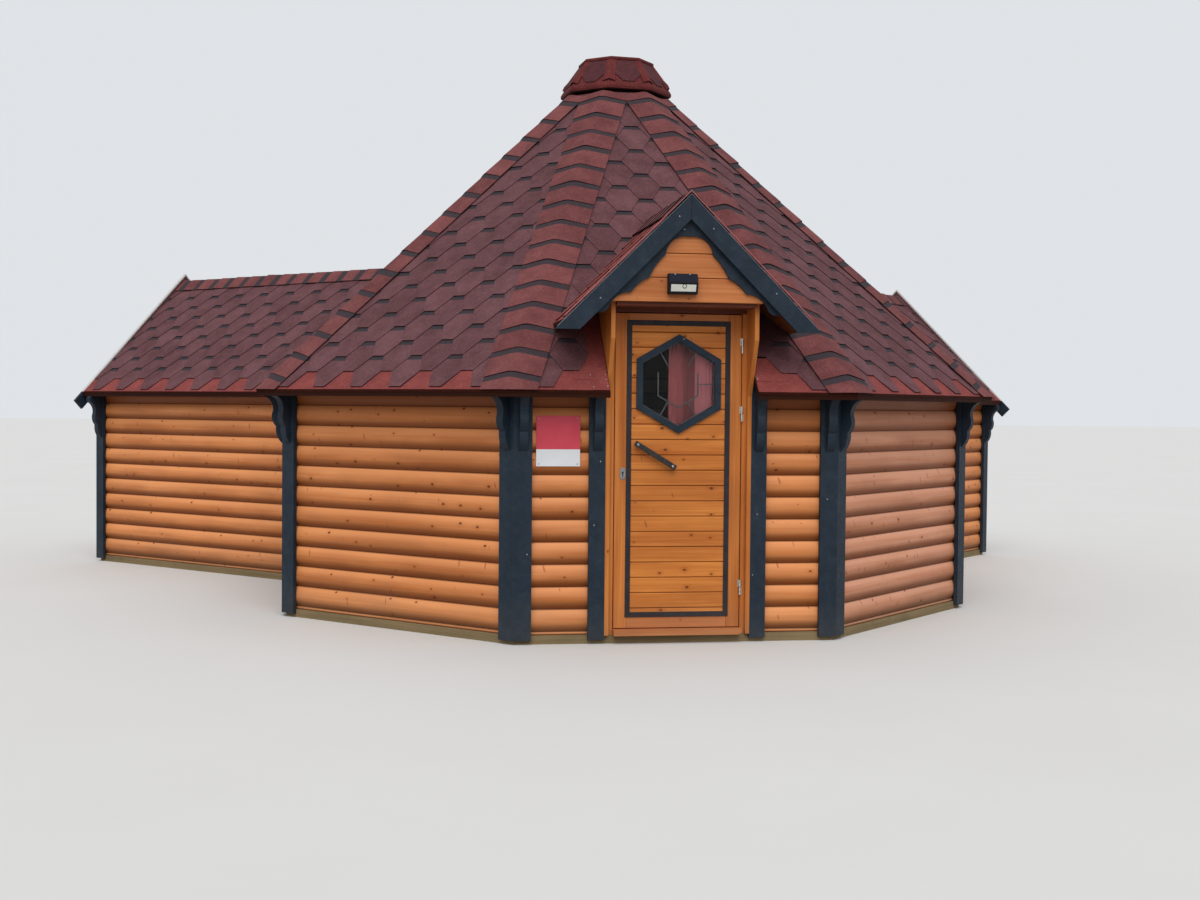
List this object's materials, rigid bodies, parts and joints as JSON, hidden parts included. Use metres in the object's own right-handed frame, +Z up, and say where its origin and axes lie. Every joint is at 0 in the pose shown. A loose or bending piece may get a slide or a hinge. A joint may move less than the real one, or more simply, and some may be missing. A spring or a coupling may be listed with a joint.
{
  "type": "kota hut",
  "caption": "Eight-sided timber hut with half-round log walls, a steep shingled roof under a smoke cowl, two gabled side rooms and a hinged front door with a six-sided window.",
  "frame": {"origin": "middle of the octagon, on the ground under the floor frame", "axes": "+X to the right seen from the door, -Y out of the door, +Z up"},
  "size_m": [8.5202, 6.8631, 3.883],
  "materials": {
    "log_wood": "orange-brown wood stain, satin",
    "door_wood": "orange-brown wood stain, satin",
    "dark_boards": "anthracite wood stain, satin",
    "base_wood": "weathered pressure-treated timber",
    "floor_wood": "plain planed boards",
    "roof_shingles": "boards under hexagonal felt shingles with maroon and dark granules",
    "cowl_shingles": "red granule felt over boards",
    "window_glass": "clear leaded glass",
    "black_metal": "black powder coat",
    "zinc_steel": "zinc-plated steel",
    "lamp_housing": "black moulded plastic",
    "plate_sheet": "satin sheet, bare of print"
  },
  "bodies": {
    "hut": {"back_wall": "log_wood", "base_frame": "base_wood", "brackets": "dark_boards", "corner_posts": "dark_boards", "door_cheeks": "door_wood", "door_head": "door_wood", "door_jambs": "door_wood", "door_posts": "dark_boards", "floor": "floor_wood", "front_left_wall": "log_wood", "front_right_wall": "log_wood", "front_walls": "log_wood", "gable_bargeboards": "dark_boards", "gable_board": "door_wood", "gable_roof": "roof_shingles", "gable_trims": "dark_boards", "jamb_hinges": "zinc_steel", "opening_posts": "log_wood", "porch_lamp": "lamp_housing", "roof_back": "roof_shingles", "roof_back_left": "roof_shingles", "roof_back_right": "roof_shingles", "roof_front": "roof_shingles", "roof_front_left": "roof_shingles", "roof_front_right": "roof_shingles", "roof_left": "roof_shingles", "roof_right": "roof_shingles", "room_back_walls": "log_wood", "room_bargeboards": "dark_boards", "room_base_frames": "base_wood", "room_end_walls": "log_wood", "room_floors": "floor_wood", "room_front_walls": "log_wood", "room_roofs_back": "roof_shingles", "room_roofs_front": "roof_shingles", "side_walls": "log_wood", "smoke_cowl": "cowl_shingles", "smoke_ring": "log_wood", "threshold": "door_wood", "wall_plate": "plate_sheet"},
    "door": {"door_leaf": "door_wood", "door_window_frame": "dark_boards", "door_glass": "window_glass", "door_handle": "black_metal", "door_hinges": "zinc_steel"}
  },
  "joints": [
    {"name": "door_hinge", "type": "hinge", "parent": "hut", "child": "door", "pos_m": [0.3775, -2.312, 1], "axis": [0, 0, 1], "range_deg": [0, 95]}
  ]
}
